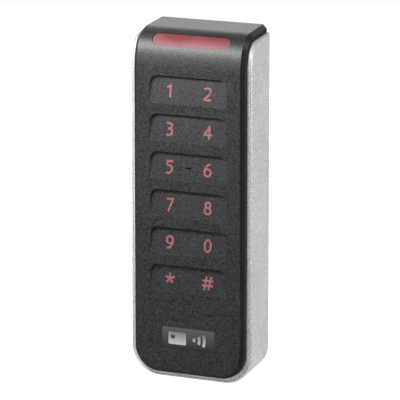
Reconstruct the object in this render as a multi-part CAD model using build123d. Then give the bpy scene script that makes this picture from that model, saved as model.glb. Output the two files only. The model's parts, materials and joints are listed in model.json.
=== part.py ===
from build123d import *
from math import atan, cos, degrees, radians, sin
import os

# A narrow wall reader for access cards, with a touch keypad. Millimetres.
# The origin is on the wall, at the middle of the wall plate's back. +Z is up, and the face looks along -Y.

# Whole reader
WIDTH = 45.0
HEIGHT = 121.5
DEPTH = 21.5
TOP = HEIGHT / 2
BOTTOM = -HEIGHT / 2
FACE = -DEPTH
FIT = 0.1  # gap between neighbouring mouldings

# Wall plate
PLATE = 1.4
PLATE_HALF = 17.5
BACK = -PLATE - FIT  # back of the reader's body
CABLE_HALF_X = 15.5
CABLE_HALF_Z = 14.0
SCREW_SLOT_R = 2.1
SCREW_SLOT_LENGTH = 8.0
SCREW_SPACINGS = (83.3, 60.0)  # box screws of the two usual wall boxes

# Front cover: a flat face, a shoulder that bends back into a nearly level top, bevelled all round
COVER_HALF = 20.42
COVER_LOW = BOTTOM + 2.0
COVER_CORNER = 8.7
COVER_DRAFT = 1.15
TOP_SLOPE = 0.1
SHOULDER_CORNER = 58.75  # where the face and the top would meet
SHOULDER_RUN = 9.0
SHOULDER_DROP = 13.5
BEVEL = 1.38
FACE_WALL = 2.2
SIDE_INSIDE = 18.0
INSIDE_LOW = COVER_LOW + 2.65
INSIDE_CORNER = 6.2
INSIDE_RUN = 8.0
INSIDE_DROP = 12.0
SKIRT_HALF = 19.4  # the narrower part of the cover behind its step
SKIRT_LOW = COVER_LOW + 1.25
SKIRT_CORNER = 7.6
SEAT = BACK - 2.0  # inner face of the rear cover's plate
SKIRT_END = SEAT - 0.6  # the seal fills the gap to the seat

# Side housing: a drafted surround on the sides and the bottom
RIM = FACE + 2.9
RIM_CORNER = 10.3
RIM_TOP = 56.45
RIM_RUN = 6.0
RIM_DROP = 9.0
BACK_HALF = 21.1
HOUSING_DRAFT = degrees(atan((WIDTH / 2 - BACK_HALF) / (BACK - RIM)))
STEP = 2.0  # how far behind the rim the cover's body steps in
STEP_RUN = 5.0
STEP_DROP = 8.0
RIM_CHAMFER = 0.4
GROOVE_INSET = 0.75
GROOVE_WIDTH = 0.22
GROOVE_DEPTH = 0.2

# Keypad
ROWS = 6
ROW_PITCH = 13.0
FIRST_ROW = 39.25
DIGIT_X = 7.05
DIGIT_HEIGHT = 4.6
DIGIT_STROKE = 0.72
RECESS_HALF = 14.2
RECESS_RISE = 5.2
RECESS_LENGTH = 9.6
RECESS_DEPTH = 1.5
RECESS_CORNER = 3.0
LEGEND_ROOT = FACE + 1.5
DASH_LENGTH = 2.2
DASH_HEIGHT = 0.4
KEYS = ("12", "34", "56", "78", "90", "*#")

# Light bar, on a plane square to the shoulder
LIGHT_Y = -18.7
LIGHT_Z = 56.3
LIGHT_TILT = 38.3
LIGHT_LENGTH = 28.4
LIGHT_WIDTH = 4.8
LENS_SINK = 0.12

# Badge
BADGE_Z = -46.0
BADGE_LENGTH = 19.8
BADGE_WIDTH = 7.75
BADGE_POCKET = 0.55

# Hook bar, which is the hinge that the reader swings on
HOOK_Y = -3.5
HOOK_Z = 57.0
HOOK_R = 1.0
HOOK_X = 11.0
HOOK_WIDTH = 7.0
HOOK_POCKET_HALF = 4.5
HOOK_WALL = 1.0

# Bottom tab and security screw
SCREW_Y = -5.6
THREAD_R = 1.5
TAB_LOW = -50.9
TAB_HALF = 5.0
TAB_REACH = -9.0
SHOULDER_LOW = -54.0
SHOULDER_HIGH = -51.6
HEAD_R = 2.75
HEAD_LOW = -59.3
HEAD_THICK = 2.0
WASHER_THICK = 0.4
WELL_R = 3.1

# Electronics
TOUCH_BOARD_FRONT = FACE + FACE_WALL + FIT
TOUCH_BOARD_THICK = 1.0
MAIN_BOARD_FRONT = -12.6
MAIN_BOARD_THICK = 1.6
MAIN_BOARD_BACK = MAIN_BOARD_FRONT + MAIN_BOARD_THICK
MAIN_BOARD_HALF = 16.0
WAYS = 10
WAY_PITCH = 2.54
PLUG_HALF_X = 13.5
PLUG_HALF_Z = 4.0
PLUG_BACK = -3.4
PIN_HALF = 0.32
CLAMP_ROW = 2.2  # height of the terminal screws
CABLE_POCKET = 1.8
SOUNDER_X = -6.0
SOUNDER_Z = -24.0
TAMPER_X = 8.0
TAMPER_Z = 22.0
COIL_Z = 3.0
CASE_BOSSES = [(x, z) for x in (-15.2, 15.2) for z in (-47.5, 49.5)]
BOARD_POSTS = [(x, z) for x in (-12.0, 12.0) for z in (-38.0, 41.0)]


def block(x, y, z):
    """A box from three (low, high) pairs."""
    size = [high - low for low, high in (x, y, z)]
    middle = [(high + low) / 2 for low, high in (x, y, z)]
    return Pos(*middle) * Box(*size)


def mid_block(half_x, y, z, at_x=0.0):
    """A box centred on at_x, with y and z as (low, high) pairs."""
    return block((at_x - half_x, at_x + half_x), y, z)


def rod_y(x, z, radius, front, back):
    """A round rod along Y."""
    return Pos(x, (front + back) / 2, z) * Rot(90, 0, 0) * Cylinder(radius, back - front)


def rod_z(x, y, radius, low, high):
    """A round rod along Z."""
    return Pos(x, y, (low + high) / 2) * Cylinder(radius, high - low)


def rod_x(y, z, radius, low, high):
    """A round rod along X."""
    return Pos((low + high) / 2, y, z) * Rot(0, 90, 0) * Cylinder(radius, high - low)


def prism(outline, front, back, draft=0.0):
    """An outline in X and Z, run from front to back along Y, drawn in by the draft on the way."""
    return extrude(Plane.XZ.offset(-front) * outline, amount=back - front, dir=(0, 1, 0), taper=draft)


def u_outline(half, low, radius, high=TOP + 10):
    """A tall outline with round bottom corners and a square top."""
    middle = (low + high) / 2
    plain = Pos(0, middle) * Rectangle(2 * half, high - low)
    return fillet(plain.vertices().group_by(Axis.Y)[0], radius)


def round_rectangle(width, height, radius, x=0.0, z=0.0):
    return Pos(x, z) * RectangleRounded(width, height, radius)


def shoulder_form(front, corner, run, drop, half, low=BOTTOM - 5):
    """The side view's form, as wide as half on each side: a sloping top, a shoulder curve and a straight front."""
    start = (front + run, corner + TOP_SLOPE * run)
    pull_top = (front + 0.4 * run, corner + TOP_SLOPE * 0.4 * run)
    pull_front = (front, corner - 0.25 * drop)
    end = (front, corner - drop)
    back_top = (BACK, corner + TOP_SLOPE * (BACK - front))
    edges = [
        Line(back_top, start),
        Bezier(start, pull_top, pull_front, end),
        Line(end, (front, low)),
        Line((front, low), (BACK, low)),
        Line((BACK, low), back_top),
    ]
    return extrude(Plane.YZ * make_face(edges), amount=half, both=True)


def cover_form():
    """The cover's outside, bevelled where the face, the shoulder and the top meet the sides."""
    tall = prism(u_outline(COVER_HALF, COVER_LOW, COVER_CORNER), FACE, BACK, COVER_DRAFT)
    form = tall & shoulder_form(FACE, SHOULDER_CORNER, SHOULDER_RUN, SHOULDER_DROP, WIDTH)
    return form.chamfer(BEVEL, None, skin_edges(form))


def skin_edges(form):
    """The edges where the face, the shoulder and the top meet the sides and the bottom."""
    skin = [f for f in form.faces() if is_skin(f.normal_at(f.center()))]
    edges = [e for f in skin for e in f.edges() if e.center().Y < BACK - FIT]
    return [e for e in edges if sum(e.is_same(other) for other in edges) == 1]


def is_skin(normal):
    return abs(normal.X) < 0.02 and (normal.Y < -0.02 or normal.Z > 0.5)


def recess(zc):
    """What is cut from the face for one row of keys: deep along its top, and running out flush below."""
    top = zc + RECESS_RISE
    low = top - RECESS_LENGTH
    edges = [
        Line((FACE + RECESS_DEPTH, top), (FACE, low)),
        Line((FACE, low), (FACE - 1, low)),
        Line((FACE - 1, low), (FACE - 1, top)),
        Line((FACE - 1, top), (FACE + RECESS_DEPTH, top)),
    ]
    wedge = extrude(Plane.YZ * make_face(edges), amount=RECESS_HALF, both=True)
    plain = Pos(0, top - RECESS_LENGTH) * Rectangle(2 * RECESS_HALF, 2 * RECESS_LENGTH)
    outline = fillet(plain.vertices().group_by(Axis.Y)[-1], RECESS_CORNER)
    return wedge & prism(outline, FACE - 1, FACE + RECESS_DEPTH)


def light_plane():
    """The plane across the light bar: X runs along the bar, and Z points out of the shoulder."""
    out = (0, -cos(radians(LIGHT_TILT)), sin(radians(LIGHT_TILT)))
    return Plane(origin=(0, LIGHT_Y, LIGHT_Z), x_dir=(1, 0, 0), z_dir=out)


def light_slot(length, width, deep, shallow):
    """A round-ended bar square to the shoulder, between two depths below the light plane."""
    flat = light_plane().offset(-deep) * SlotOverall(length, width)
    return extrude(flat, amount=deep - shallow)


def stroke(*points):
    """One straight-sided pen stroke of a legend, in units of half the legend's pen box."""
    unit = (DIGIT_HEIGHT - DIGIT_STROKE) / 2
    return trace(Polyline(*[(x * unit, y * unit) for x, y in points]), DIGIT_STROKE)


def bend(*points):
    """One curved pen stroke, in the same units."""
    unit = (DIGIT_HEIGHT - DIGIT_STROKE) / 2
    return trace(Spline(*[(x * unit, y * unit) for x, y in points]), DIGIT_STROKE)


def ring(x, y, half_x, half_y):
    """One round or oval pen stroke, in the same units."""
    unit = (DIGIT_HEIGHT - DIGIT_STROKE) / 2
    pen = DIGIT_STROKE / 2
    outer = Ellipse(half_x * unit + pen, half_y * unit + pen)
    return Pos(x * unit, y * unit) * (outer - Ellipse(half_x * unit - pen, half_y * unit - pen))


def legend(key):
    """The flat shape of one key's legend, about its middle."""
    if key == "1":
        shape = stroke((-0.45, 0.55), (0.2, 1.0), (0.2, -1.15))
    elif key == "2":
        shape = bend((-0.62, 0.72), (-0.1, 1.0), (0.45, 0.75), (0.42, 0.15), (-0.2, -0.55), (-0.62, -1.0))
        shape += stroke((-0.72, -1.0), (0.72, -1.0))
    elif key == "3":
        shape = bend((-0.52, 0.93), (0.0, 1.0), (0.45, 0.6), (0.2, 0.13), (-0.22, 0.06))
        shape += bend((-0.22, 0.06), (0.3, 0.0), (0.56, -0.47), (0.15, -0.95), (-0.55, -0.92))
    elif key == "4":
        shape = stroke((0.3, -1.18), (0.3, 1.18))
        shape += stroke((0.28, 0.95), (-0.62, -0.45), (0.8, -0.45))
    elif key == "5":
        shape = stroke((0.6, 1.0), (-0.42, 1.0), (-0.46, 0.22))
        shape += bend((-0.46, 0.17), (0.1, 0.25), (0.52, -0.3), (0.15, -0.92), (-0.6, -0.94))
    elif key == "6":
        shape = bend((0.5, 1.0), (-0.1, 0.85), (-0.52, 0.25), (-0.58, -0.4))
        shape += ring(0.0, -0.4, 0.58, 0.6)
    elif key == "7":
        shape = stroke((-0.7, 1.0), (0.6, 1.0), (-0.2, -1.15))
    elif key == "8":
        shape = ring(0.0, 0.53, 0.47, 0.47) + ring(0.0, -0.47, 0.58, 0.53)
    elif key == "9":
        shape = Rot(0, 0, 180) * legend("6")
    elif key == "0":
        shape = ring(0.0, 0.0, 0.6, 1.0)
    elif key == "*":
        arms = [Rot(0, 0, 72 * turn) * stroke((0, 0), (0, 0.95)) for turn in range(5)]
        shape = Pos(0, 0.4) * (arms[0] + arms[1] + arms[2] + arms[3] + arms[4])
    else:
        uprights = [stroke((x - 0.18, -1.15), (x + 0.18, 1.15)) for x in (-0.42, 0.42)]
        bars = [stroke((-1.05, y), (1.05, y)) for y in (-0.42, 0.42)]
        shape = uprights[0] + uprights[1] + bars[0] + bars[1]
    return shape


def legend_rods():
    """Every key's legend as a straight rod from in front of the face to its root in the cover."""
    rods = []
    for row, pair in enumerate(KEYS):
        zc = FIRST_ROW - row * ROW_PITCH
        for key, x in zip(pair, (-DIGIT_X, DIGIT_X)):
            rods.append(prism(Pos(x, zc) * legend(key), FACE - 1, LEGEND_ROOT))
    return rods


def dash_rod():
    """The finger mark between 5 and 6."""
    outline = round_rectangle(DASH_LENGTH, DASH_HEIGHT, 0.15, 0.0, FIRST_ROW - 2 * ROW_PITCH + 0.1)
    return prism(outline, FACE + 0.55, LEGEND_ROOT)


def together(shapes):
    return Compound(children=[s for shape in shapes for s in shape.solids()])


def make_front_cover():
    """Returns the cover and the legends, which fill the holes it has for them."""
    form = cover_form()
    stepped = shoulder_form(RIM + STEP, RIM_TOP - STEP, STEP_RUN, STEP_DROP, WIDTH)
    skirt = prism(u_outline(SKIRT_HALF, SKIRT_LOW, SKIRT_CORNER), FACE, BACK)
    form = form - (stepped - skirt)
    inside = prism(u_outline(SIDE_INSIDE, INSIDE_LOW, INSIDE_CORNER), FACE, BACK)
    inside &= shoulder_form(FACE + FACE_WALL, SHOULDER_CORNER - 1.9, INSIDE_RUN, INSIDE_DROP, WIDTH)
    bosses = [rod_y(x, z, 2.3, FACE + 1.9, SKIRT_END) for x, z in CASE_BOSSES]
    form -= inside
    for boss in bosses:
        form += boss & cover_form()
    for x, z in CASE_BOSSES:
        form -= rod_y(x, z, 1.05, FACE + 4.0, SKIRT_END)
    form -= mid_block(WIDTH, (SKIRT_END, BACK + 1), (BOTTOM, RIM_TOP - 1.0))
    form -= mid_block(8.2, (-11.2, BACK), (BOTTOM, -50.0))
    form -= light_slot(LIGHT_LENGTH, LIGHT_WIDTH, 4.5, -4.0)
    form -= prism(round_rectangle(BADGE_LENGTH, BADGE_WIDTH, 0.7, 0.0, BADGE_Z), FACE - 1, FACE + BADGE_POCKET)
    for row in range(ROWS):
        form -= recess(FIRST_ROW - row * ROW_PITCH)
    legends = [form & rod for rod in legend_rods()]
    for rod in legend_rods():
        form -= rod
    form -= dash_rod()
    return form, together(legends)


def make_light_bar():
    """A red lens that follows the shoulder just below its surface."""
    slot = light_slot(LIGHT_LENGTH - 2 * FIT, LIGHT_WIDTH - 2 * FIT, 2.5, -4.0)
    return slot & Pos(0, LENS_SINK, -LENS_SINK) * cover_form()


def make_side_housing():
    """The surround: open at the front and the top, with a flat rim and a step for the cover's body."""
    front = u_outline(WIDTH / 2, BOTTOM, RIM_CORNER)
    outer = prism(front, RIM, BACK, HOUSING_DRAFT)
    outer &= shoulder_form(RIM, RIM_TOP, RIM_RUN, RIM_DROP, WIDTH)
    outer = outer.chamfer(RIM_CHAMFER, None, skin_edges(outer))
    groove = prism(u_outline(WIDTH / 2 - GROOVE_INSET, BOTTOM + GROOVE_INSET, RIM_CORNER - GROOVE_INSET), FACE, BACK)
    inset = GROOVE_INSET + GROOVE_WIDTH
    groove -= prism(u_outline(WIDTH / 2 - inset, BOTTOM + inset, RIM_CORNER - inset), FACE, BACK)
    outer -= groove - shoulder_form(RIM + GROOVE_DEPTH, RIM_TOP - GROOVE_DEPTH, RIM_RUN, RIM_DROP, WIDTH)
    body_room = prism(u_outline(COVER_HALF + FIT, COVER_LOW - FIT, COVER_CORNER), FACE, BACK, COVER_DRAFT)
    kept = shoulder_form(RIM + STEP + FIT, RIM_TOP - STEP - FIT, STEP_RUN, STEP_DROP, WIDTH)
    skirt_room = prism(u_outline(SKIRT_HALF + FIT, SKIRT_LOW - FIT, SKIRT_CORNER + FIT), FACE, BACK + 1)
    outer = outer - (body_room - kept) - skirt_room
    return outer - rod_z(0, SCREW_Y, WELL_R, BOTTOM - 1, -50)


def make_rear_cover():
    """The back, with pockets for the plate's hooks and tab, a well for the screw and a window for the terminals."""
    half = SKIRT_HALF - FIT
    low = SKIRT_LOW + FIT
    high = SHOULDER_CORNER - 0.25
    cover = prism(u_outline(half, low, SKIRT_CORNER - FIT, RIM_TOP - 1.1), SEAT, BACK)
    under_top = shoulder_form(FACE + FACE_WALL + FIT, high - 1.75, INSIDE_RUN, INSIDE_DROP, WIDTH)
    cover += mid_block(SIDE_INSIDE - FIT, (SEAT, BACK), (RIM_TOP - 4.0, high)) & under_top
    rib = u_outline(SIDE_INSIDE - FIT, INSIDE_LOW + FIT, INSIDE_CORNER - FIT, 52.0)
    rib -= u_outline(SIDE_INSIDE - 1.3, INSIDE_LOW + 1.3, INSIDE_CORNER - 1.2, 52.0)
    cover += prism(rib, SKIRT_END - 2.0, SEAT)
    cover += mid_block(17.0, (HOOK_Y - 3.9, SEAT), (53.2, high)) & under_top
    cover += mid_block(8.0, (TAB_REACH - 2.0, SEAT), (low, -45.0))
    for x, z in BOARD_POSTS:
        cover += rod_y(x, z, 2.2, MAIN_BOARD_BACK, SEAT)
        cover -= rod_y(x, z, 0.8, MAIN_BOARD_BACK, SEAT - 1.0)
    for x, z in CASE_BOSSES:
        cover -= rod_y(x, z, 2.6, SKIRT_END - 3, SEAT)
        cover -= rod_y(x, z, 1.2, SKIRT_END, BACK)
        cover -= rod_y(x, z, 2.2, BACK - 1.1, BACK)
    pocket_floor = BACK - CABLE_POCKET
    pad_z = CABLE_HALF_Z + 1.0
    cover += mid_block(CABLE_HALF_X + 1.2, (pocket_floor - 1.2, SEAT), (-pad_z, pad_z))
    cover -= prism(round_rectangle(2 * CABLE_HALF_X - 0.8, 2 * CABLE_HALF_Z - 0.6, 1.0), pocket_floor, BACK)
    for side in (-1, 1):
        pocket_z = (HOOK_Z - 3.2, TOP)
        cover -= mid_block(HOOK_POCKET_HALF, (HOOK_Y - 2.7, BACK), pocket_z, side * HOOK_X)
    cover -= rod_x(HOOK_Y, HOOK_Z, HOOK_R, -17.0, 17.0)
    cover -= mid_block(TAB_HALF + 1.0, (TAB_REACH - 0.6, BACK), (SHOULDER_HIGH, -46.2))
    cover -= rod_z(0, SCREW_Y, THREAD_R + 0.15, SHOULDER_LOW, SHOULDER_HIGH)
    cover -= rod_z(0, SCREW_Y, WELL_R, BOTTOM, SHOULDER_LOW)
    cover -= mid_block(PLUG_HALF_X + 0.4, (SKIRT_END - 3, BACK), (-PLUG_HALF_Z - 0.4, PLUG_HALF_Z + 0.4))
    cover -= mid_block(PLUG_HALF_X + 1.2, (SKIRT_END - 3, SEAT + 0.6), (-PLUG_HALF_Z - 1.2, PLUG_HALF_Z + 1.2))
    return cover - rod_y(TAMPER_X, TAMPER_Z, 1.8, SKIRT_END, BACK)


def make_rear_seal():
    """A soft gasket down each side and round the bottom corners, under the skirt's edge."""
    outer = u_outline(SKIRT_HALF - 0.15, SKIRT_LOW + 0.15, SKIRT_CORNER - 0.2, 52.0)
    inner = u_outline(SIDE_INSIDE + FIT, INSIDE_LOW - FIT, INSIDE_CORNER + FIT, 52.0)
    return prism(outer - inner, SKIRT_END, SEAT) - mid_block(8.3, (SKIRT_END, BACK), (BOTTOM, -50.0))


def make_wall_plate():
    """Sheet steel with two hooks at its top edge and a tab bent forward from its bottom edge."""
    height = HOOK_Z - HOOK_R - TAB_LOW
    sheet = prism(round_rectangle(2 * PLATE_HALF, height, 3.0, 0.0, TAB_LOW + height / 2), -PLATE, 0)
    sheet -= mid_block(CABLE_HALF_X, (-PLATE, 0), (-CABLE_HALF_Z, CABLE_HALF_Z))
    for spacing in SCREW_SPACINGS:
        for side in (-1, 1):
            slot = Pos(0, side * spacing / 2) * Rot(0, 0, 90) * SlotOverall(SCREW_SLOT_LENGTH, 2 * SCREW_SLOT_R)
            sheet -= prism(slot, -PLATE, 0)
    tab_high = TAB_LOW + PLATE
    tab = mid_block(TAB_HALF, (TAB_REACH, -PLATE), (TAB_LOW, tab_high))
    sheet += tab - rod_z(0, SCREW_Y, THREAD_R + 0.05, TAB_LOW, tab_high)
    inner = HOOK_R + 0.06
    for side in (-1, 1):
        low_x = side * HOOK_X - HOOK_WIDTH / 2
        high_x = side * HOOK_X + HOOK_WIDTH / 2
        cradle = rod_x(HOOK_Y, HOOK_Z, inner + HOOK_WALL, low_x, high_x)
        cradle -= rod_x(HOOK_Y, HOOK_Z, inner, low_x, high_x)
        cradle -= block((low_x, high_x), (HOOK_Y - 4, HOOK_Y + 4), (HOOK_Z, HOOK_Z + 4))
        arm = block((low_x, high_x), (HOOK_Y + inner, 0), (HOOK_Z - HOOK_R - 1.0, HOOK_Z))
        arm -= rod_x(HOOK_Y, HOOK_Z, inner, low_x, high_x)
        sheet += cradle + arm
    return sheet


def make_tab_nut():
    """A clinch nut on the tab."""
    low = TAB_LOW + PLATE
    nut = extrude(Plane.XY.offset(low) * Pos(0, SCREW_Y) * RegularPolygon(2.9, 6), amount=2.4)
    return nut - rod_z(0, SCREW_Y, THREAD_R + 0.05, low, low + 2.4)


def make_security_screw():
    """A short machine screw with a six-sided socket that has a pin in its middle."""
    head_top = HEAD_LOW + HEAD_THICK
    screw = rod_z(0, SCREW_Y, HEAD_R, HEAD_LOW, head_top)
    screw = chamfer(screw.edges().group_by(Axis.Z)[0], 0.4)
    socket = extrude(Plane.XY.offset(HEAD_LOW) * Pos(0, SCREW_Y) * RegularPolygon(1.25, 6), amount=1.2)
    screw -= socket - rod_z(0, SCREW_Y, 0.4, HEAD_LOW, head_top)
    shank = rod_z(0, SCREW_Y, THREAD_R, head_top, TAB_LOW - 0.3)
    return screw + chamfer(shank.edges().group_by(Axis.Z)[-1], 0.35)


def make_screw_washer():
    """The captive washer under the screw's head."""
    low = HEAD_LOW + HEAD_THICK
    washer = rod_z(0, SCREW_Y, WELL_R - 0.1, low, low + WASHER_THICK)
    return washer - rod_z(0, SCREW_Y, THREAD_R + 0.05, low, low + WASHER_THICK)


def make_touch_board():
    """The touch board behind the face, with a hole behind each key for its lamp."""
    back = TOUCH_BOARD_FRONT + TOUCH_BOARD_THICK
    board = prism(round_rectangle(34.0, 84.0, 1.5, 0.0, 2.0), TOUCH_BOARD_FRONT, back)
    for x, z in key_places():
        board -= mid_block(1.3, (TOUCH_BOARD_FRONT, back), (z - 0.9, z + 0.9), x)
    return board


def key_places():
    rows = [FIRST_ROW - row * ROW_PITCH for row in range(ROWS)]
    return [(x, z) for z in rows for x in (-DIGIT_X, DIGIT_X)]


def make_key_lamps():
    front = TOUCH_BOARD_FRONT
    return together([mid_block(0.9, (front, front + 0.8), (z - 0.5, z + 0.5), x) for x, z in key_places()])


def make_field_antenna():
    """The loop that reads cards: three square turns on the back of the touch board."""
    front = TOUCH_BOARD_FRONT + TOUCH_BOARD_THICK
    turns = []
    for turn in range(3):
        width, height = 32.0 - 2.4 * turn, 80.0 - 2.4 * turn
        outline = round_rectangle(width, height, 1.6, 0.0, 2.0)
        outline -= round_rectangle(width - 1.2, height - 1.2, 1.1, 0.0, 2.0)
        turns.append(prism(outline, front, front + 0.1))
    return together(turns)


def make_long_coil():
    """The wound coil for long-wave tags, on the ferrite sheet."""
    outline = round_rectangle(27.0, 46.0, 8.0, 0.0, COIL_Z) - round_rectangle(22.0, 41.0, 5.6, 0.0, COIL_Z)
    return prism(outline, -16.6, -14.8)


def make_ferrite_sheet():
    return prism(round_rectangle(29.0, 50.0, 1.0, 0.0, COIL_Z), -14.7, -14.2)


def make_coil_carrier():
    """The frame that holds the ferrite sheet off the main board."""
    rails = [mid_block(1.0, (-14.2, MAIN_BOARD_FRONT), (COIL_Z - 24.0, COIL_Z + 24.0), x) for x in (-13.4, 13.4)]
    ties = [mid_block(12.4, (-14.2, -13.8), (z - 0.8, z + 0.8)) for z in (COIL_Z - 21.0, COIL_Z + 21.0)]
    return rails[0] + rails[1] + ties[0] + ties[1]


def make_main_board():
    outline = round_rectangle(2 * MAIN_BOARD_HALF, 89.5, 1.5, 0.0, 1.25)
    board = prism(outline, MAIN_BOARD_FRONT, MAIN_BOARD_BACK)
    for x, z in BOARD_POSTS:
        board -= rod_y(x, z, 1.1, MAIN_BOARD_FRONT, MAIN_BOARD_BACK)
    for x in pin_places():
        board -= mid_block(0.4, (MAIN_BOARD_FRONT, MAIN_BOARD_BACK), (-0.4, 0.4), x)
    return board


def pin_places():
    return [WAY_PITCH * (way - (WAYS - 1) / 2) for way in range(WAYS)]


def chip(x, z, size_x, size_z, thick):
    """A flat package on the front of the main board."""
    return mid_block(size_x / 2, (MAIN_BOARD_FRONT - thick, MAIN_BOARD_FRONT), (z - size_z / 2, z + size_z / 2), x)


def make_board_connector():
    """The stacking connector between the two boards."""
    front = TOUCH_BOARD_FRONT + TOUCH_BOARD_THICK + 0.1
    return mid_block(9.0, (front, MAIN_BOARD_FRONT), (-33.4, -30.0))


def make_capacitors():
    places = [(x, z) for x in (-14.7, 14.7) for z in (-30.0, -27.6, -25.2, 30.0, 32.4, 34.8)]
    return together([chip(x, z, 0.8, 1.6, 0.8) for x, z in places])


def make_sounder():
    """The sounder on the back of the main board, with its sound hole."""
    can = rod_y(SOUNDER_X, SOUNDER_Z, 6.0, MAIN_BOARD_BACK, MAIN_BOARD_BACK + 4.0)
    return can - rod_y(SOUNDER_X, SOUNDER_Z, 1.0, MAIN_BOARD_BACK + 2.0, MAIN_BOARD_BACK + 4.0)


def make_tamper_sensor():
    """The optical sensor that sees the wall plate through a hole in the back."""
    base = mid_block(2.0, (MAIN_BOARD_BACK, MAIN_BOARD_BACK + 1.2), (TAMPER_Z - 2.0, TAMPER_Z + 2.0), TAMPER_X)
    return base + rod_y(TAMPER_X, TAMPER_Z, 1.2, MAIN_BOARD_BACK + 1.2, MAIN_BOARD_BACK + 1.8)


def make_terminal_header():
    """The shroud that the terminal plug pushes into."""
    half_x = PLUG_HALF_X + 0.9
    half_z = PLUG_HALF_Z + 0.9
    end = MAIN_BOARD_BACK + 5.6
    shroud = mid_block(half_x, (MAIN_BOARD_BACK, end), (-half_z, half_z))
    room_x = PLUG_HALF_X + 0.15
    room_z = PLUG_HALF_Z + 0.15
    shroud -= mid_block(room_x, (MAIN_BOARD_BACK + 0.8, end), (-room_z, room_z))
    for x in pin_places():
        shroud -= mid_block(PIN_HALF, (MAIN_BOARD_BACK, end), (-PIN_HALF, PIN_HALF), x)
    return shroud


def make_header_pins():
    front = MAIN_BOARD_FRONT - 0.6
    end = MAIN_BOARD_BACK + 4.8
    return together([mid_block(PIN_HALF, (front, end), (-PIN_HALF, PIN_HALF), x) for x in pin_places()])


def make_terminal_plug():
    """The pull-off terminal block: screw wells above, wire entries below, pin holes in front."""
    front = MAIN_BOARD_BACK + 1.0
    end = PLUG_BACK
    plug = mid_block(PLUG_HALF_X, (front, end), (-PLUG_HALF_Z, PLUG_HALF_Z))
    for x in pin_places():
        plug -= mid_block(0.5, (front, front + 4.2), (-0.5, 0.5), x)
        plug -= rod_y(x, CLAMP_ROW, 1.0, end - 3.4, end)
        plug -= mid_block(0.95, (end - 3.4, end), (-3.0, -0.6), x)
    return plug


def make_clamp_screws():
    """The slotted terminal screws."""
    end = PLUG_BACK - 0.8
    screws = []
    for x in pin_places():
        screw = rod_y(x, CLAMP_ROW, 0.9, end - 2.6, end)
        screws.append(screw - mid_block(0.15, (end - 0.5, end), (CLAMP_ROW - 1.0, CLAMP_ROW + 1.0), x))
    return together(screws)


def make_wire_clamps():
    """The plates that hold the wires' ends."""
    end = PLUG_BACK - 1.2
    return together([mid_block(0.8, (end - 2.2, end), (-3.0, -2.6), x) for x in pin_places()])


def make_case_screws():
    """Self-tapping screws from the back into the cover's bosses, with a cross slot in each head."""
    screws = []
    for x, z in CASE_BOSSES:
        head = rod_y(x, z, 2.0, BACK - 1.1, BACK - 0.1)
        head -= mid_block(0.3, (BACK - 0.7, BACK), (z - 1.2, z + 1.2), x)
        head -= mid_block(1.2, (BACK - 0.7, BACK), (z - 0.3, z + 0.3), x)
        screws.append(head + rod_y(x, z, 1.0, BACK - 9.5, BACK - 1.1))
    return together(screws)


def make_board_screws():
    screws = []
    for x, z in BOARD_POSTS:
        head = rod_y(x, z, 1.7, MAIN_BOARD_FRONT - 1.2, MAIN_BOARD_FRONT)
        head -= mid_block(0.25, (MAIN_BOARD_FRONT - 1.2, MAIN_BOARD_FRONT - 0.7), (z - 1.0, z + 1.0), x)
        head -= mid_block(1.0, (MAIN_BOARD_FRONT - 1.2, MAIN_BOARD_FRONT - 0.7), (z - 0.25, z + 0.25), x)
        screws.append(head + rod_y(x, z, 0.78, MAIN_BOARD_FRONT, MAIN_BOARD_BACK + 4.0))
    return together(screws)


def make_status_board():
    """The small board behind the light guide."""
    flat = light_plane().offset(-7.2) * Rectangle(23.0, 5.0)
    return extrude(flat, amount=0.8)


def make_status_lamps():
    """Three colour lamps on the status board."""
    lamps = [light_plane().offset(-6.4) * Pos(x, 0) * Rectangle(2.0, 2.0) for x in (-8.0, 0.0, 8.0)]
    return together([extrude(lamp, amount=0.8) for lamp in lamps])


def make_light_guide():
    """The clear bar that spreads the lamps' light along the lens."""
    return light_slot(25.0, 3.6, 5.5, 2.6)


def make_status_strip():
    """The flat strip from the status board down to the main board."""
    return mid_block(3.0, (MAIN_BOARD_FRONT - 0.25, MAIN_BOARD_FRONT), (43.5, 51.9))


def make_badge_plate():
    half_gap = 0.1
    width = BADGE_LENGTH - 2 * half_gap
    height = BADGE_WIDTH - 2 * half_gap
    return prism(round_rectangle(width, height, 0.6, 0.0, BADGE_Z), FACE + 0.15, FACE + BADGE_POCKET)


def make_badge_emblem():
    """A card with a chip, held up to three waves."""
    card = round_rectangle(6.6, 4.4, 0.5, -4.0, BADGE_Z) - round_rectangle(1.5, 1.2, 0.15, -5.6, BADGE_Z + 0.4)
    parts = [prism(card, FACE + 0.03, FACE + 0.15)]
    for radius in (1.7, 3.6, 5.5):
        wave = Circle(radius + 0.5) - Circle(radius - 0.5)
        wave &= Polygon((0, 0), (9, 3.6), (9, -3.6), align=None)
        parts.append(prism(Pos(0.6, BADGE_Z) * wave, FACE + 0.03, FACE + 0.15))
    return together(parts)


def make_hook_bar():
    return rod_x(HOOK_Y, HOOK_Z, HOOK_R, -16.9, 16.9)


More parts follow.
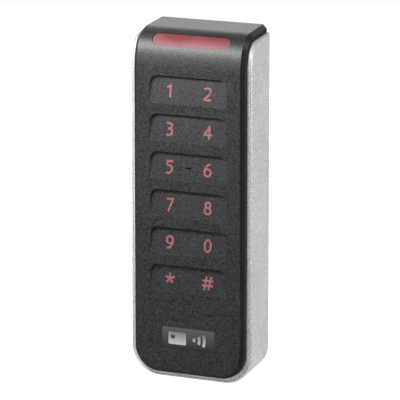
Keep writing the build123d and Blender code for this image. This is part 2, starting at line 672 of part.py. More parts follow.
front_cover, keypad_legends = make_front_cover()
nodes = {
    "front_cover": front_cover,
    "keypad_legends": keypad_legends,
    "locator_dash": dash_rod(),
    "badge_plate": make_badge_plate(),
    "badge_emblem": make_badge_emblem(),
    "light_bar": make_light_bar(),
    "light_guide": make_light_guide(),
    "status_board": make_status_board(),
    "status_lamps": make_status_lamps(),
    "status_strip": make_status_strip(),
    "side_housing": make_side_housing(),
    "rear_cover": make_rear_cover(),
    "rear_seal": make_rear_seal(),
    "case_screws": make_case_screws(),
    "hook_bar": make_hook_bar(),
    "touch_board": make_touch_board(),
    "key_lamps": make_key_lamps(),
    "field_antenna": make_field_antenna(),
    "long_wave_coil": make_long_coil(),
    "ferrite_sheet": make_ferrite_sheet(),
    "coil_carrier": make_coil_carrier(),
    "main_board": make_main_board(),
    "board_screws": make_board_screws(),
    "board_connector": make_board_connector(),
    "controller_chip": chip(0.0, 36.0, 7.0, 7.0, 0.9),
    "radio_chip": chip(-7.5, 33.0, 5.0, 5.0, 0.8),
    "bluetooth_module": chip(8.0, 33.5, 7.0, 9.0, 1.8),
    "crystals": together([chip(-7.0, 38.5, 3.2, 2.5, 0.8), chip(4.0, -26.5, 2.5, 2.0, 0.7)]),
    "capacitors": make_capacitors(),
    "sounder": make_sounder(),
    "tamper_sensor": make_tamper_sensor(),
    "terminal_header": make_terminal_header(),
    "header_pins": make_header_pins(),
    "terminal_plug": make_terminal_plug(),
    "clamp_screws": make_clamp_screws(),
    "wire_clamps": make_wire_clamps(),
    "security_screw": make_security_screw(),
    "screw_washer": make_screw_washer(),
    "wall_plate": make_wall_plate(),
    "tab_nut": make_tab_nut(),
}

os.makedirs("parts", exist_ok=True)
for name, shape in nodes.items():
    export_step(shape, f"parts/{name}.step")
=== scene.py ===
import json
import math

import bmesh
import bpy
from mathutils import Matrix, Vector


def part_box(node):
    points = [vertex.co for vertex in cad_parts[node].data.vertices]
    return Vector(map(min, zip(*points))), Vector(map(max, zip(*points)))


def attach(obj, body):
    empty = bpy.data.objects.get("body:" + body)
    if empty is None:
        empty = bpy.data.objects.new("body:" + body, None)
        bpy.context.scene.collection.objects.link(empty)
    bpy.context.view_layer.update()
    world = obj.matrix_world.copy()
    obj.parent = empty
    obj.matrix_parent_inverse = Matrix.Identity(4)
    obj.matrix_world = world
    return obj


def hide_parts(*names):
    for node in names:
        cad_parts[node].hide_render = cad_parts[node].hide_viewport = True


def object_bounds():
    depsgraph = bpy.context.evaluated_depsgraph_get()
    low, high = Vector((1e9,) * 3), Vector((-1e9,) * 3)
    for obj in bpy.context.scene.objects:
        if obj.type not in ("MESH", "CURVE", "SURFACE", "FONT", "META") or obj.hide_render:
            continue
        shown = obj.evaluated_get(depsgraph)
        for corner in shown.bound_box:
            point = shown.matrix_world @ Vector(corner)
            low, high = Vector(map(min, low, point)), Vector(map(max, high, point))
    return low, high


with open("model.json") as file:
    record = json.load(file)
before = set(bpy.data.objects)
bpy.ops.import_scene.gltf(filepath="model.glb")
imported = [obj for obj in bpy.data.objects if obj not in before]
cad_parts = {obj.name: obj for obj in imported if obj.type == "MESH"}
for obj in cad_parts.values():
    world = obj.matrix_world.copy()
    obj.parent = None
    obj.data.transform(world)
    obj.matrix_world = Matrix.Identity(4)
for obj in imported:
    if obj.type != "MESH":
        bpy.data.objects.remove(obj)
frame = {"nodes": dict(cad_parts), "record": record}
cad_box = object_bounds()

MM = 0.001

# Where the camera stands, as seen from the reader.
VIEW_AZIMUTH = math.radians(24.56)
VIEW_ELEVATION = math.radians(12.90)
VIEW_DISTANCE = 1104 * MM
VIEW_AIM = Vector((0.29, -12.25, 0.72)) * MM
VIEW_LENS = 293.3


# ---- Shader kit -----------------------------------------------------------------------------------------------------


class Wire:
    """A value that changes over a surface. Arithmetic on it adds Math nodes."""

    def __init__(self, finish, socket):
        self.finish = finish
        self.socket = socket

    def math(self, operation, first, second):
        return self.finish.add("Math", {"operation": operation}, {0: first, 1: second})

    def __add__(self, other):
        return self.math("ADD", self, other)

    __radd__ = __add__

    def __sub__(self, other):
        return self.math("SUBTRACT", self, other)

    def __rsub__(self, other):
        return self.math("SUBTRACT", other, self)

    def __mul__(self, other):
        return self.math("MULTIPLY", self, other)

    __rmul__ = __mul__


class Finish:
    """One material being made."""

    def __init__(self, name):
        self.material = bpy.data.materials.new(name)
        self.material.use_nodes = True
        self.tree = self.material.node_tree
        self.tree.nodes.clear()

    def add(self, kind, settings=None, inputs=None, output=0):
        """Adds one node: its settings first, then the value or wire of each socket. Returns a wire from an output."""
        node = self.tree.nodes.new("ShaderNode" + kind)
        for key, setting in (settings or {}).items():
            setattr(node, key, setting)
        for key, given in (inputs or {}).items():
            if isinstance(given, Wire):
                self.tree.links.new(given.socket, node.inputs[key])
            else:
                node.inputs[key].default_value = given
        return Wire(self, node.outputs[output]) if len(node.outputs) else None

    def place(self, stretch=(1, 1, 1)):
        """Object coordinates, in metres, stretched along each axis."""
        spot = self.add("TexCoord", output="Object")
        return self.add("Mapping", None, {"Vector": spot, "Scale": stretch})

    def noise(self, size, detail=2.0, rough=0.5, stretch=(1, 1, 1)):
        """Soft noise whose blotches are about size metres across, from 0 to 1."""
        inputs = {"Vector": self.place(stretch), "Scale": 1 / size, "Detail": detail, "Roughness": rough}
        return self.add("TexNoise", None, inputs, "Fac")

    def spread(self, wire, low, high, to_low=0.0, to_high=1.0):
        """Maps a wire's range from low..high to to_low..to_high, and clamps it."""
        inputs = {"Value": wire, "From Min": low, "From Max": high, "To Min": to_low, "To Max": to_high}
        return self.add("MapRange", None, inputs)

    def mix(self, share, first, second):
        """A colour between two, by a share from 0 to 1. The sockets go by number, because their names repeat."""
        return self.add("Mix", {"data_type": "RGBA"}, {0: share, 6: first, 7: second}, 2)

    def axis(self, letter):
        """The object coordinate along one axis, in metres."""
        return self.add("SeparateXYZ", None, {"Vector": self.place()}, letter)

    def rise(self, node):
        """How far up a node's box a place is, from 0 to 1."""
        low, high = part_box(node)
        return self.spread(self.axis("Z"), low.z, high.z)

    def bump(self, height, depth, strength):
        """Turns a height into a relief that is depth metres deep."""
        return self.add("Bump", None, {"Height": height, "Distance": depth, "Strength": strength})

    def done(self, **sockets):
        """Ends the material with the main shader. Keyword base_color is the socket Base Color, and so on."""
        inputs = {key.replace("_", " ").title().replace("Ior", "IOR"): value for key, value in sockets.items()}
        shader = self.add("BsdfPrincipled", None, inputs)
        self.add("OutputMaterial", None, {"Surface": shader})
        return self.material


def grey(level, warmth=0.0):
    """A grey as a linear colour, a little warm or cool."""
    return (level * (1 + warmth), level, level * (1 - warmth), 1.0)


# ---- Finishes -------------------------------------------------------------------------------------------------------


def textured_black():
    """Moulded black with a fine eroded texture."""
    f = Finish("textured_black")
    grain = f.noise(0.00042, 1.0, 0.5)
    speck = f.noise(0.0003, 1.0, 0.5)
    cloud = f.noise(0.006, 2.0)
    tone = f.spread(speck + 0.05 * cloud, 0.42, 0.62)
    colour = f.mix(tone, grey(0.004, -0.01), grey(0.050, -0.01))
    rough = f.spread(grain, 0.3, 0.7, 0.39, 0.46)
    texture = f.bump(grain + 0.3 * speck, 0.00009, 0.4)
    return f.done(base_color=colour, roughness=rough, normal=texture)


def smooth_black():
    """Polished black on the cover's bevel and sides."""
    f = Finish("smooth_black")
    haze = f.noise(0.004, 3.0)
    wear = f.noise(0.0006, 2.0, 0.6, (1, 1, 0.2))
    colour = f.mix(f.spread(wear, 0.4, 0.8), grey(0.010), grey(0.018))
    rough = f.spread(haze, 0.3, 0.7, 0.26, 0.36)
    return f.done(base_color=colour, roughness=rough, normal=f.bump(wear, 0.000008, 0.4))


def back_black():
    """Plain moulded black, with flow marks and a matt bloom."""
    f = Finish("back_black")
    flow = f.noise(0.012, 3.0, 0.55, (1, 1, 0.3))
    grain = f.noise(0.0005, 2.0)
    colour = f.mix(f.spread(flow, 0.3, 0.7), grey(0.022), grey(0.034))
    return f.done(base_color=colour, roughness=f.spread(grain, 0.3, 0.7, 0.5, 0.62), normal=f.bump(grain, 0.00003, 0.5))


def silver():
    """Satin silver paint with fine flake, on a light grain."""
    f = Finish("silver")
    flake = f.noise(0.00045, 2.0, 0.6)
    cloud = f.noise(0.009, 2.0)
    tone = f.spread(flake + 0.15 * cloud, 0.45, 0.72)
    colour = f.mix(tone, grey(0.46), grey(0.80))
    rough = f.spread(flake, 0.3, 0.7, 0.42, 0.55)
    texture = f.bump(flake, 0.00010, 0.4)
    return f.done(base_color=colour, metallic=0.1, roughness=rough, normal=texture)


def lens_red():
    """Red light bar: deeper red at its rim, paler where the lamps shine through."""
    f = Finish("lens_red")
    blot = f.noise(0.008, 1.0, 0.4, (0.6, 1, 1))
    glow = f.spread(blot - 0.55 * f.rise("light_bar") + 0.4, 0.35, 0.75)
    colour = f.mix(glow, (0.17, 0.035, 0.04, 1), (0.20, 0.085, 0.095, 1))
    light = f.mix(glow, (0.28, 0.06, 0.07, 1), (0.48, 0.25, 0.28, 1))
    return f.done(base_color=colour, emission_color=light, emission_strength=0.19, roughness=0.45 + 0.1 * blot,
                  specular_ior_level=0.2)


def legend_red():
    """Translucent red of the key legends, lit a little from behind."""
    f = Finish("legend_red")
    speck = f.noise(0.0005, 2.0, 0.6)
    tone = f.spread(speck, 0.3, 0.7)
    colour = f.mix(tone, (0.12, 0.03, 0.035, 1), (0.34, 0.12, 0.13, 1))
    light = f.mix(tone, (0.20, 0.05, 0.055, 1), (0.42, 0.14, 0.15, 1))
    return f.done(base_color=colour, emission_color=light, emission_strength=0.27, roughness=0.5 + 0.1 * speck)


def plain_plastic(name, dark, light, rough=0.5, size=0.0006):
    """A moulded plastic with a fine grain between two near tones."""
    f = Finish(name)
    grain = f.noise(size, 3.0, 0.6)
    cloud = f.noise(size * 12, 2.0)
    colour = f.mix(f.spread(grain + 0.6 * cloud, 0.5, 1.1), dark, light)
    return f.done(base_color=colour, roughness=f.spread(grain, 0.3, 0.7, rough - 0.07, rough + 0.07),
                  normal=f.bump(grain, 0.00002, 0.4))


def deep_black():
    """Flat black of the finger mark, which hardly shines."""
    f = Finish("deep_black")
    haze = f.noise(0.0008, 2.0)
    colour = f.mix(haze, grey(0.0005), grey(0.002))
    return f.done(base_color=colour, roughness=0.6 + 0.2 * haze, specular_ior_level=0.05)


def metal(name, dark, light, rough=0.3, stretch=(1, 1, 1), size=0.0004):
    """A metal with drawn or turned scratches along one axis."""
    f = Finish(name)
    line = f.noise(size, 4.0, 0.6, stretch)
    stain = f.noise(size * 14, 2.0)
    colour = f.mix(f.spread(line + 0.7 * stain, 0.55, 1.15), dark, light)
    return f.done(base_color=colour, metallic=1.0, roughness=f.spread(line, 0.3, 0.7, rough - 0.08, rough + 0.1),
                  normal=f.bump(line, 0.00001, 0.35))


def badge_grey():
    """The badge's plate, with a painted sheen: its colour is lighter at its top and falls off towards its foot."""
    f = Finish("badge_grey")
    line = f.noise(0.0003, 3.0, 0.6, (1, 1, 0.05))
    # painted sheen: the colour runs from dark at the plate's foot to light at its top
    colour = f.mix(f.rise("badge_plate"), grey(0.022), grey(0.10))
    return f.done(base_color=colour, roughness=0.3 + 0.1 * line, normal=f.bump(line, 0.000005, 0.3))


def badge_silver():
    """Plated emblem with upright brush lines, and a painted reflection that makes its colour brighter towards its foot.
    """
    f = Finish("badge_silver")
    line = f.noise(0.00035, 3.0, 0.6, (1, 1, 0.04))
    # painted reflection: the colour is brightest at the emblem's foot and darker towards its top, with the brush lines
    # mixed in
    colour = f.mix(f.spread(f.rise("badge_emblem") + 0.4 * line, 0.2, 1.2), grey(0.60), grey(0.20))
    return f.done(base_color=colour, metallic=0.2, roughness=0.3 + 0.2 * line, normal=f.bump(line, 0.000006, 0.4))


def clear_guide():
    """Clear plastic of the light guide and the lamps' windows."""
    f = Finish("clear_guide")
    haze = f.noise(0.002, 3.0)
    colour = f.mix(haze, (0.92, 0.88, 0.88, 1), (0.98, 0.96, 0.96, 1))
    return f.done(base_color=colour, transmission_weight=0.85, roughness=0.08 + 0.1 * haze)


finishes = {
    "black_cover": textured_black(),
    "smooth_black": smooth_black(),
    "red_legend": legend_red(),
    "black_gloss": deep_black(),
    "badge_grey": badge_grey(),
    "badge_silver": badge_silver(),
    "red_lens": lens_red(),
    "clear_guide": clear_guide(),
    "board_green": plain_plastic("board_green", (0.006, 0.045, 0.016, 1), (0.012, 0.075, 0.026, 1), 0.38, 0.0011),
    "board_black": plain_plastic("board_black", grey(0.006), grey(0.014), 0.4, 0.0011),
    "lamp_white": plain_plastic("lamp_white", (0.75, 0.72, 0.62, 1), (0.85, 0.83, 0.76, 1), 0.3),
    "strip_amber": plain_plastic("strip_amber", (0.33, 0.13, 0.02, 1), (0.45, 0.2, 0.03, 1), 0.3),
    "silver_housing": silver(),
    "black_back": back_black(),
    "seal_rubber": plain_plastic("seal_rubber", grey(0.012), grey(0.02), 0.75),
    "zinc_steel": metal("zinc_steel", (0.50, 0.50, 0.47, 1), (0.68, 0.68, 0.64, 1), 0.34),
    "zinc_plate": metal("zinc_plate", (0.50, 0.51, 0.50, 1), (0.66, 0.67, 0.66, 1), 0.36, (1, 1, 0.08)),
    "bright_steel": metal("bright_steel", (0.56, 0.56, 0.57, 1), (0.72, 0.72, 0.73, 1), 0.24, (1, 1, 4)),
    "copper_trace": metal("copper_trace", (0.72, 0.34, 0.17, 1), (0.84, 0.46, 0.26, 1), 0.3),
    "copper_wire": metal("copper_wire", (0.40, 0.11, 0.035, 1), (0.56, 0.19, 0.07, 1), 0.28),
    "ferrite": plain_plastic("ferrite", (0.030, 0.028, 0.026, 1), (0.055, 0.050, 0.045, 1), 0.7),
    "white_plastic": plain_plastic("white_plastic", grey(0.60), grey(0.70), 0.5),
    "connector_black": plain_plastic("connector_black", grey(0.008), grey(0.016), 0.5),
    "chip_black": plain_plastic("chip_black", grey(0.010), grey(0.020), 0.55, 0.0003),
    "can_steel": metal("can_steel", (0.56, 0.56, 0.55, 1), (0.72, 0.72, 0.71, 1), 0.26, (0.1, 1, 1)),
    "ceramic_tan": plain_plastic("ceramic_tan", (0.26, 0.16, 0.09, 1), (0.36, 0.24, 0.14, 1), 0.5, 0.0003),
    "terminal_green": plain_plastic("terminal_green", (0.010, 0.115, 0.028, 1), (0.016, 0.17, 0.045, 1), 0.42),
    "brass_pin": metal("brass_pin", (0.62, 0.44, 0.16, 1), (0.78, 0.60, 0.26, 1), 0.28),
    "nylon": plain_plastic("nylon", grey(0.66), grey(0.76), 0.45),
}

record = frame["record"]
slot_of = {entry["node"]: entry["material_slot"] for entry in record["subparts"]}
body_of = {node: body for body, nodes in record["behaviour"]["bodies"].items() for node in nodes}


# ---- Mouldings ------------------------------------------------------------------------------------------------------

TOP_SLOPE = 0.1
TOP_PULL = 0.4  # where the shoulder curve's handles lie, as shares of its run and its drop
FRONT_PULL = 0.25
CURVE_STEPS = 60

WELD = 0.002 * MM
MOULDING_ANGLE = 25.0
SKIN_FIT = (0.996, 0.965, 0.965)  # how closely a facet of the front, the bevel or the side follows its skin


class Skin:
    """A moulding's outer form, in millimetres: a sloping top, a shoulder curve, a straight front, and drafted sides."""

    def __init__(self, front, corner, run, drop, half, low, radius, lean):
        self.start, self.foot = front + run, corner - drop
        pulls = [(self.start, corner + TOP_SLOPE * run), (front + TOP_PULL * run, corner + TOP_SLOPE * TOP_PULL * run),
                 (front, corner - FRONT_PULL * drop), (front, self.foot)]
        self.curve = [bezier(pulls, step / CURVE_STEPS) for step in range(CURVE_STEPS + 1)]
        self.half, self.low, self.radius = half, low, radius
        self.lean = math.sin(math.radians(lean))

    def front_way(self, place):
        """Which way the front, the shoulder or the top faces at a place."""
        if place.y > self.start:
            return Vector((0, -TOP_SLOPE, 1)).normalized()
        if place.z < self.foot:
            return Vector((0, -1, 0))
        near = min(self.curve, key=lambda point: (point[0] - place.y) ** 2 + (point[1] - place.z) ** 2)
        return Vector((0, near[2], near[3]))

    def side_way(self, place):
        """Which way the side, the round corner or the bottom faces at a place."""
        over = abs(place.x) - (self.half - self.radius)
        under = self.low + self.radius - place.z
        if over > 0 and under > 0:
            way = Vector((over, 0, -under)).normalized()
        else:
            way = Vector((1, 0, 0)) if over > under else Vector((0, 0, -1))
        return Vector((math.copysign(way.x, place.x), self.lean, way.z)).normalized()

    def ways(self, place):
        """The ways of the front, of the bevel and of the side at a place."""
        front, side = self.front_way(place), self.side_way(place)
        return front, (front + side).normalized(), side


def bezier(pulls, share):
    """A point of a curve from the top to the front, and the way that its outside faces."""
    weights = ((1 - share) ** 3, 3 * share * (1 - share) ** 2, 3 * share ** 2 * (1 - share), share ** 3)
    y, z = (sum(weight * pull[axis] for weight, pull in zip(weights, pulls)) for axis in (0, 1))
    steps = [(b[0] - a[0], b[1] - a[1]) for a, b in zip(pulls, pulls[1:])]
    weights = ((1 - share) ** 2, 2 * share * (1 - share), share ** 2)
    run, rise = (sum(weight * step[axis] for weight, step in zip(weights, steps)) for axis in (0, 1))
    long = math.hypot(run, rise)
    return y, z, rise / long, -run / long


cover_skin = Skin(-21.5, 58.75, 9.0, 13.5, 20.42, -58.75, 8.7, 1.15)
housing_skin = Skin(-18.6, 56.45, 6.0, 9.0, 22.5, -60.75, 10.3, 4.68)


def fair_copy(node, name, angle=30.0, skin=None):
    """A smooth-shaded copy of a node, welded, with sharp edges only where faces turn by more than the angle.

    Facets that lie on the skin's front, bevel or side take its own directions, and count as 0, 1 or 2.
    """
    mesh = frame["nodes"][node].data.copy()
    mesh.materials.clear()
    work = bmesh.new()
    work.from_mesh(mesh)
    bmesh.ops.remove_doubles(work, verts=work.verts, dist=WELD)
    bmesh.ops.dissolve_degenerate(work, edges=work.edges, dist=WELD)
    for face in work.faces:
        face.smooth = True
        face.material_index = 0
    work.to_mesh(mesh)
    work.free()
    mesh.name = name
    mesh.set_sharp_from_angle(angle=math.radians(angle))
    piece = bpy.data.objects.new(name, mesh)
    bpy.context.scene.collection.objects.link(piece)
    mesh.materials.append(finishes[slot_of[node]])
    if skin:
        mesh.normals_split_custom_set(skin_normals(mesh, skin))
    else:
        weigh = piece.modifiers.new("weigh", "WEIGHTED_NORMAL")
        weigh.keep_sharp = True
    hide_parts(node)
    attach(piece, body_of[node])
    return piece


def part_of_skin(skin, facet):
    """0 on the skin's front, 1 on its bevel, 2 on its side, and None off it."""
    fits = [facet.normal.dot(way) for way in skin.ways(facet.center / MM)]
    best = fits.index(max(fits))
    return best if fits[best] > SKIN_FIT[best] else None


def skin_normals(mesh, skin):
    """The direction at each facet's corners: the skin's own where the facet lies on it, and the mesh's elsewhere."""
    directions = [corner.vector.copy() for corner in mesh.corner_normals]
    for facet in mesh.polygons:
        part = part_of_skin(skin, facet)
        for corner in facet.loop_indices:
            place = mesh.vertices[mesh.loops[corner].vertex_index].co / MM
            if part is not None:
                directions[corner] = skin.ways(place)[part]
            elif facet.normal.y < -0.9:
                directions[corner] = facet.normal.copy()
    return directions


def make_cover():
    """The front cover, with polished plastic on its bevel and its sides."""
    cover = fair_copy("front_cover", "cover_moulding", MOULDING_ANGLE, cover_skin)
    cover.data.materials.append(finishes["smooth_black"])
    for facet in cover.data.polygons:
        if part_of_skin(cover_skin, facet) in (1, 2):
            facet.material_index = 1


# ---- Pieces ---------------------------------------------------------------------------------------------------------

SHARP_ANGLE = 35.0


class Build:
    """A piece being built, in millimetres. Each shape takes the finish that was last picked."""

    def __init__(self, *slots):
        self.work = bmesh.new()
        self.slots = slots
        self.finish = 0

    def pick(self, slot):
        self.finish = self.slots.index(slot)

    def claim(self, faces):
        """Gives faces the picked finish."""
        for face in faces:
            face.material_index = self.finish
            face.smooth = True

    def bar(self, low, high, edge=0.0, along=None):
        """A bar between two corners. All its edges are rounded, or only those that run along one axis."""
        low, high = Vector(low), Vector(high)
        size = Matrix.Diagonal((*(high - low), 1))
        made = bmesh.ops.create_cube(self.work, size=1.0, matrix=Matrix.Translation((low + high) / 2) @ size)
        self.claim({face for vert in made["verts"] for face in vert.link_faces})
        edges = {side for vert in made["verts"] for side in vert.link_edges}
        if along is not None:
            axis = "XYZ".index(along)
            edges = {side for side in edges if abs((side.verts[0].co - side.verts[1].co)[axis]) > 1e-6}
        if edge:
            cut = bmesh.ops.bevel(self.work, geom=list(edges), offset=edge, segments=2 if along is None else 5,
                                  affect="EDGES", profile=0.5, material=-1)
            self.claim(cut["faces"])

    def turned(self, centre, axis, outline, steps=32):
        """A round shape about an axis, from (radius, place along the axis) pairs that start and end on the axis."""
        way = {"X": Vector((1, 0, 0)), "Y": Vector((0, 1, 0)), "Z": Vector((0, 0, 1))}[axis]
        out = Vector((0, 0, 1)) if axis != "Z" else Vector((1, 0, 0))
        verts = [self.work.verts.new(Vector(centre) + out * radius + way * place) for radius, place in outline]
        edges = [self.work.edges.new(pair) for pair in zip(verts, verts[1:])]
        made = bmesh.ops.spin(self.work, geom=verts + edges, cent=centre, axis=way, angle=2 * math.pi, steps=steps,
                              use_merge=True, use_duplicate=False)
        fresh = {face for vert in made["geom_last"] if isinstance(vert, bmesh.types.BMVert) for face in vert.link_faces}
        reach = set(fresh)
        while fresh:
            fresh = {near for face in fresh for side in face.edges for near in side.link_faces} - reach
            reach |= fresh
        self.claim(reach)
        bmesh.ops.remove_doubles(self.work, verts=list({v for face in reach for v in face.verts}), dist=1e-5)

    def winding(self, half_x, half_z, corner, y, z, thick, sides=8):
        """One turn of round wire about Y, as a rectangle with round corners."""
        start = Matrix.Translation((-half_x, y, z - half_z + corner))
        ring = bmesh.ops.create_circle(self.work, cap_ends=False, radius=thick / 2, segments=sides, matrix=start)
        first = ring["verts"]
        edges = list({side for vert in first for side in vert.link_edges})
        made = []
        corners = [(-1, 1), (1, 1), (1, -1), (-1, -1)]
        runs = [(0, 2 * (half_z - corner)), (2 * (half_x - corner), 0)] * 2
        for step, ((side_x, side_z), (run, rise)) in enumerate(zip(corners, runs)):
            turn = 1 if step < 2 else -1
            out = bmesh.ops.extrude_edge_only(self.work, edges=edges)["geom"]
            verts = [part for part in out if isinstance(part, bmesh.types.BMVert)]
            bmesh.ops.translate(self.work, verts=verts, vec=(turn * run, 0, turn * rise))
            made += [part for part in out if isinstance(part, bmesh.types.BMFace)]
            edges = [part for part in out if isinstance(part, bmesh.types.BMEdge)
                     and all(end in verts for end in part.verts)]
            pivot = (side_x * (half_x - corner), y, z + side_z * (half_z - corner))
            bent = bmesh.ops.spin(self.work, geom=verts + edges, cent=pivot, axis=(0, 1, 0), angle=math.pi / 2, steps=5,
                                  use_duplicate=False)
            edges = [part for part in bent["geom_last"] if isinstance(part, bmesh.types.BMEdge)]
        ends = {end for side in edges for end in side.verts}
        bmesh.ops.remove_doubles(self.work, verts=list(ends | set(first)), dist=1e-3)
        self.claim(self.work.faces)

    def done(self, name, body, node):
        """Ends the piece, which takes a node's place and rides a body."""
        bmesh.ops.recalc_face_normals(self.work, faces=self.work.faces)
        bmesh.ops.scale(self.work, vec=(MM, MM, MM), verts=self.work.verts)
        mesh = bpy.data.meshes.new(name)
        self.work.to_mesh(mesh)
        self.work.free()
        mesh.set_sharp_from_angle(angle=math.radians(SHARP_ANGLE))
        for slot in self.slots:
            mesh.materials.append(finishes[slot])
        piece = bpy.data.objects.new(name, mesh)
        bpy.context.scene.collection.objects.link(piece)
        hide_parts(node)
        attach(piece, body)


def solids(node):
    """The box of each separate solid of a node, in millimetres."""
    work = bmesh.new()
    work.from_mesh(frame["nodes"][node].data)
    bmesh.ops.remove_doubles(work, verts=work.verts, dist=0.000001)
    left = set(work.verts)
    boxes = []
    while left:
        found, edge = set(), {left.pop()}
        while edge:
            found |= edge
            edge = {side.other_vert(vert) for vert in edge for side in vert.link_edges} - found
        left -= found
        places = [vert.co / MM for vert in found]
        boxes.append([Vector([pick(place[axis] for place in places) for axis in range(3)]) for pick in (min, max)])
    work.free()
    return sorted(boxes, key=lambda box: (box[0].z, box[0].x))


def make_chip(node, legs):
    """A flat package with bent legs on all four sides and a dot by its first leg."""
    low, high = solids(node)[0]
    middle = (low + high) / 2
    half = (high.x - low.x) / 2
    reach, thick = 0.55, 0.1
    chip = Build("chip_black", "bright_steel", "lamp_white")
    chip.bar((low.x + reach, low.y, low.z + reach), (high.x - reach, high.y - thick, high.z - reach), 0.08)
    chip.pick("bright_steel")
    pitch = (2 * half - 2 * reach - 0.4) / legs
    for leg in range(legs):
        along = (leg - (legs - 1) / 2) * pitch
        wide = pitch * 0.25
        for side in (-1, 1):
            outer, bend, inner = side * half, side * (half - 0.25), side * (half - reach)
            foot = (bend, outer, high.y, high.y - thick)
            riser = (bend - side * thick, bend, high.y, high.y - 0.4)
            shoulder = (inner, bend, high.y - 0.3, high.y - 0.4)
            for a, b, back, front in (foot, riser, shoulder):
                a, b = sorted((a, b))
                chip.bar((middle.x + a, front, middle.z + along - wide), (middle.x + b, back, middle.z + along + wide))
                chip.bar((middle.x + along - wide, front, middle.z + a), (middle.x + along + wide, back, middle.z + b))
    chip.pick("lamp_white")
    dot = (low.x + reach + 0.6, low.y, high.z - reach - 0.6)
    chip.turned(dot, "Y", ((0, 0.0), (0.25, 0.0), (0.25, 0.05), (0, 0.05)), 16)
    chip.done(node + "_package", "reader", node)


def make_radio_module():
    """The Bluetooth module: a small board with a drawn can and a bent aerial track."""
    low, high = solids("bluetooth_module")[0]
    level = high.y - 0.8
    can_top = high.z - 2.4
    track, copper, edge = 0.25, 0.04, 0.4
    pitch, folds = 1.0, 6
    module = Build("can_steel", "board_black", "copper_trace")
    module.bar((low.x + 0.3, low.y, low.z + 0.3), (high.x - 0.3, level, can_top), 0.3)
    module.pick("board_black")
    module.bar((low.x, level, low.z), high, 0.05)
    module.pick("copper_trace")
    for fold in range(folds):
        x = low.x + 0.7 + fold * pitch
        module.bar((x, level - copper, can_top + edge), (x + track, level, high.z - edge))
        end = high.z - edge - track if fold % 2 else can_top + edge
        if fold < folds - 1:
            module.bar((x, level - copper, end), (x + pitch + track, level, end + track))
    for pad in range(7):
        z = low.z + 0.7 + pad * 0.85
        for x in (low.x, high.x - track):
            module.bar((x, level - copper, z), (x + track, level, z + 0.45))
    module.done("bluetooth_module_can", "reader", "bluetooth_module")


def make_crystals():
    """Drawn cans with round ends, each on a thin flange."""
    cans = Build("can_steel", "connector_black")
    for low, high in solids("crystals"):
        radius = (high.z - low.z) / 2 - 0.02
        inset, flange = 0.25, 0.15
        cans.pick("connector_black")
        cans.bar((low.x, high.y - flange, low.z), high, radius, "Y")
        cans.pick("can_steel")
        can_end = (high.x - inset, high.y - flange, high.z - inset)
        cans.bar((low.x + inset, low.y, low.z + inset), can_end, radius - inset, "Y")
    cans.done("crystal_cans", "reader", "crystals")


def make_capacitors():
    """Ceramic blocks with plated ends."""
    waist, edge = 0.03, 0.05
    parts = Build("ceramic_tan", "can_steel")
    for low, high in solids("capacitors"):
        long_axis = 0 if high.x - low.x > high.z - low.z else 2
        cap = 0.22 * (high[long_axis] - low[long_axis])
        near, far = high.copy(), low.copy()
        near[long_axis] = low[long_axis] + cap
        far[long_axis] = high[long_axis] - cap
        body_low, body_high = low.copy(), high.copy()
        body_low[long_axis], body_high[long_axis] = near[long_axis], far[long_axis]
        parts.pick("ceramic_tan")
        parts.bar(body_low + Vector((waist, waist, waist)), body_high - Vector((waist, 0, waist)), edge)
        parts.pick("can_steel")
        parts.bar(low, near, edge)
        parts.bar(far, high, edge)
    parts.done("capacitor_blocks", "reader", "capacitors")


def make_key_lamps():
    """A white body between two plated pads, with a domed window, for each lamp."""
    pad = 0.25
    lamps = Build("lamp_white", "can_steel", "clear_guide")
    for low, high in solids("key_lamps"):
        middle = (low + high) / 2
        lamps.pick("lamp_white")
        lamps.bar((low.x + pad, low.y + 0.2, low.z), (high.x - pad, high.y, high.z), 0.05)
        lamps.pick("can_steel")
        for a, b in ((low.x, low.x + pad), (high.x - pad, high.x)):
            lamps.bar((a, low.y + 0.35, low.z), (b, high.y, high.z), 0.03)
        lamps.pick("clear_guide")
        dome = ((0, 0.0), (0.2, 0.03), (0.34, 0.11), (0.4, 0.2), (0, 0.2))
        lamps.turned((middle.x, low.y, middle.z), "Y", dome, 20)
    lamps.done("key_lamp_bodies", "reader", "key_lamps")


def make_coil():
    """The long-wave coil: layers of enamelled wire wound flat on the ferrite."""
    low, high = solids("long_wave_coil")[0]
    half = (high - low) / 2
    middle_z = (low.z + high.z) / 2
    layers, turns, corner = 4, 8, 5.0
    thick = (high.y - low.y) / layers
    coil = Build("copper_wire")
    for layer in range(layers):
        y = low.y + (layer + 0.5) * thick
        for turn in range(turns):
            inset = (turn + 0.5) * thick
            coil.winding(half.x - inset, half.z - inset, corner - inset, y, middle_z, thick * 0.98)
    coil.done("long_wave_winding", "reader", "long_wave_coil")


def make_connector():
    """The board-to-board connector: a black body with a row of sprung contacts."""
    low, high = solids("board_connector")[0]
    ways, margin = 13, 1.5
    plug = Build("connector_black", "brass_pin")
    plug.bar((low.x, low.y, low.z + 0.5), (high.x, high.y, high.z - 0.5), 0.15)
    plug.bar((low.x, low.y + 1.2, low.z + 0.2), (high.x, high.y - 1.2, high.z - 0.2), 0.1)
    plug.pick("brass_pin")
    for way in range(ways):
        x = low.x + margin + way * (high.x - low.x - 2 * margin) / (ways - 1)
        for a, b in ((low.z, low.z + 0.5), (high.z - 0.5, high.z)):
            plug.bar((x - 0.2, high.y - 0.3, a), (x + 0.2, high.y, b), 0.03)
            plug.bar((x - 0.2, low.y, a + 0.05), (x + 0.2, low.y + 1.1, b - 0.05), 0.03)
    plug.done("connector_body", "reader", "board_connector")


def make_pins():
    """Square pins with rounded ends."""
    pins = Build("brass_pin")
    for low, high in solids("header_pins"):
        pins.bar(low, high, 0.1)
    pins.done("pin_row", "reader", "header_pins")


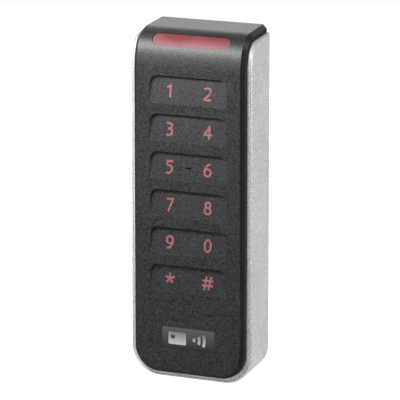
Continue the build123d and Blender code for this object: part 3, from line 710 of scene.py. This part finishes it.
def make_screw():
    """The security screw: a chamfered head with a pin in its socket, and a threaded shank."""
    low, high = solids("security_screw")[0]
    centre = ((low.x + high.x) / 2, (low.y + high.y) / 2, low.z)
    pin, pin_foot, socket, rim = 0.38, 0.25, 1.2, 2.75
    head, tip = 2.0, high.z - low.z
    crest, root, pitch = 1.5, 1.22, 0.5
    outline = [(0, pin_foot), (pin, pin_foot), (pin, socket), (socket, socket), (socket, 0.0), (rim - 0.4, 0.0),
               (rim, 0.4), (rim, head - 0.1), (rim - 0.1, head), (root, head)]
    for turn in range(int((tip - head - 0.6) / pitch)):
        foot = head + 0.15 + turn * pitch
        outline += [(root, foot), (crest, foot + 0.2), (crest, foot + 0.27), (root, foot + 0.47)]
    outline += [(root, tip - 0.35), (1.05, tip), (0, tip)]
    screw = Build("bright_steel")
    screw.turned(centre, "Z", outline, 36)
    screw.done("security_screw_turned", "security_screw", "security_screw")


make_chip("controller_chip", 11)
make_chip("radio_chip", 8)
make_radio_module()
make_crystals()
make_capacitors()
make_key_lamps()
make_coil()
make_connector()
make_pins()
make_screw()
make_cover()
fair_copy("side_housing", "housing_moulding", MOULDING_ANGLE, housing_skin)
faired = ["light_bar", "keypad_legends", "locator_dash", "badge_plate", "badge_emblem", "rear_cover",
          "wall_plate", "hook_bar", "screw_washer", "tab_nut", "case_screws", "terminal_plug",
          "clamp_screws", "light_guide", "sounder", "tamper_sensor", "board_screws"]
for node in faired:
    fair_copy(node, node + "_fair")
for node, cad in frame["nodes"].items():
    if not cad.hide_render:
        cad.data.materials.clear()
        cad.data.materials.append(finishes[slot_of[node]])


# ---- Studio ---------------------------------------------------------------------------------------------------------

FLOOR_HALF = 6.0
FLOOR_DROP = 0.25  # the reader hangs this far above the floor, in metres


def direction(azimuth, elevation):
    """The way from the reader to a point of the studio."""
    flat = math.cos(elevation)
    return Vector((math.sin(azimuth) * flat, -math.cos(azimuth) * flat, math.sin(elevation)))


def look(thing, aim):
    thing.rotation_euler = (thing.location - aim).to_track_quat("Z", "Y").to_euler()


def make_camera():
    camera = bpy.data.objects.new("camera", bpy.data.cameras.new("camera"))
    camera.data.sensor_width = 36.0
    camera.data.lens = VIEW_LENS
    camera.data.clip_start = 0.01
    camera.location = VIEW_AIM + direction(VIEW_AZIMUTH, VIEW_ELEVATION) * VIEW_DISTANCE
    look(camera, VIEW_AIM)
    bpy.context.scene.collection.objects.link(camera)
    bpy.context.scene.camera = camera


def make_soft_light(name, azimuth, elevation, distance, size, glow, aim=(0, 0, 0)):
    """A flat soft box, aimed at a point in millimetres. Glow is its brightness beside white paper's."""
    lamp = bpy.data.lights.new(name, "AREA")
    lamp.shape = "RECTANGLE"
    lamp.size, lamp.size_y = size
    lamp.energy = glow * math.pi * size[0] * size[1]
    light = bpy.data.objects.new(name, lamp)
    light.location = direction(math.radians(azimuth), math.radians(elevation)) * distance
    look(light, Vector(aim) * MM)
    bpy.context.scene.collection.objects.link(light)


def make_floor():
    mesh = bpy.data.meshes.new("floor")
    work = bmesh.new()
    bmesh.ops.create_grid(work, x_segments=1, y_segments=1, size=FLOOR_HALF)
    bmesh.ops.translate(work, verts=work.verts, vec=(0, 0, cad_box[0][2] - FLOOR_DROP))
    work.to_mesh(mesh)
    work.free()
    floor = bpy.data.objects.new("floor", mesh)
    f = Finish("floor_white")
    mesh.materials.append(f.done(base_color=grey(0.8), roughness=0.9, emission_color=grey(1.0), emission_strength=0.85))
    bpy.context.scene.collection.objects.link(floor)
    floor.visible_glossy = False


def make_world():
    world = bpy.data.worlds.new("studio")
    world.use_nodes = True
    sky = world.node_tree.nodes["Background"]
    sky.inputs["Color"].default_value = grey(1.0)
    sky.inputs["Strength"].default_value = 0.13
    bpy.context.scene.world = world
    bpy.context.scene.view_settings.view_transform = "Standard"


make_camera()
make_soft_light("front_box", -28, 40, 0.23, (0.18, 0.035), 33, (0, -20, 54))
make_soft_light("back_wall", 205, 22, 2.0, (2.4, 1.2), 2.15)
make_soft_light("right_box", 105, 20, 1.2, (0.9, 0.9), 2.3)
make_floor()
make_world()
